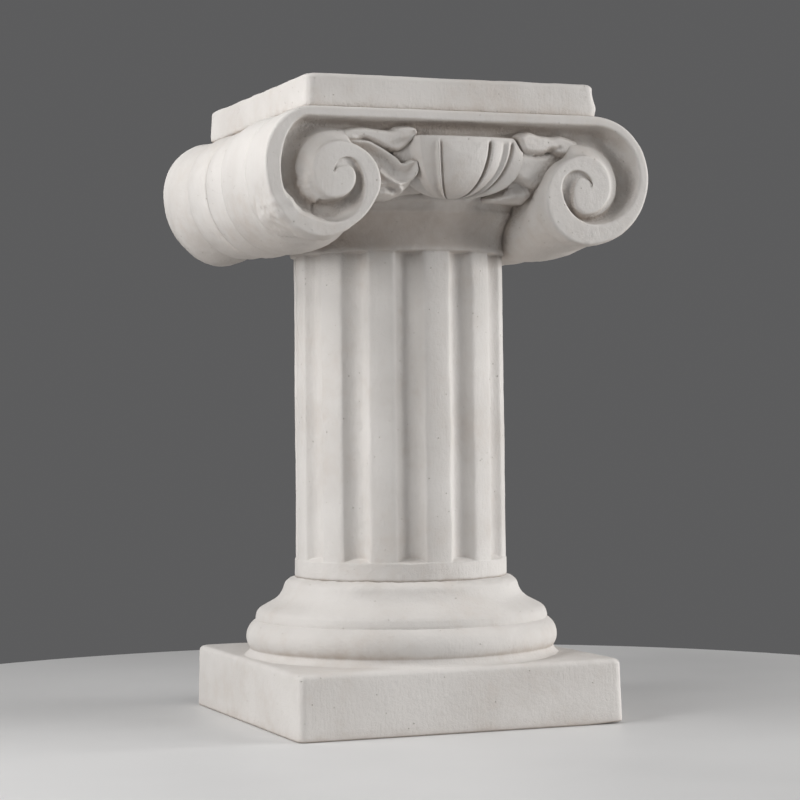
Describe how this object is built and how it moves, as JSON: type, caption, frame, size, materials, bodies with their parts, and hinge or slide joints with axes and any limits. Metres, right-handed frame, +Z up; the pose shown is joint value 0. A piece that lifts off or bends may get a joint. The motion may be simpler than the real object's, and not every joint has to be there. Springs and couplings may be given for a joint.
{
  "type": "ionic column",
  "caption": "Short cast plaster column with an Ionic scroll capital, fluted shaft, moulded base and square plinth, used as a display pedestal or ornament.",
  "frame": {"origin": "middle of the plinth's underside", "axes": "+Z up along the column's axis; the scrolled faces look along -Y and +Y, and the bolsters run along Y"},
  "size_m": [0.266, 0.236, 0.42],
  "materials": {
    "plaster": "matte warm white cast gypsum plaster with pinholes, file marks and faint yellow-brown stains in the hollows"
  },
  "bodies": {
    "root": {"ionic_column": "plaster"}
  },
  "joints": []
}
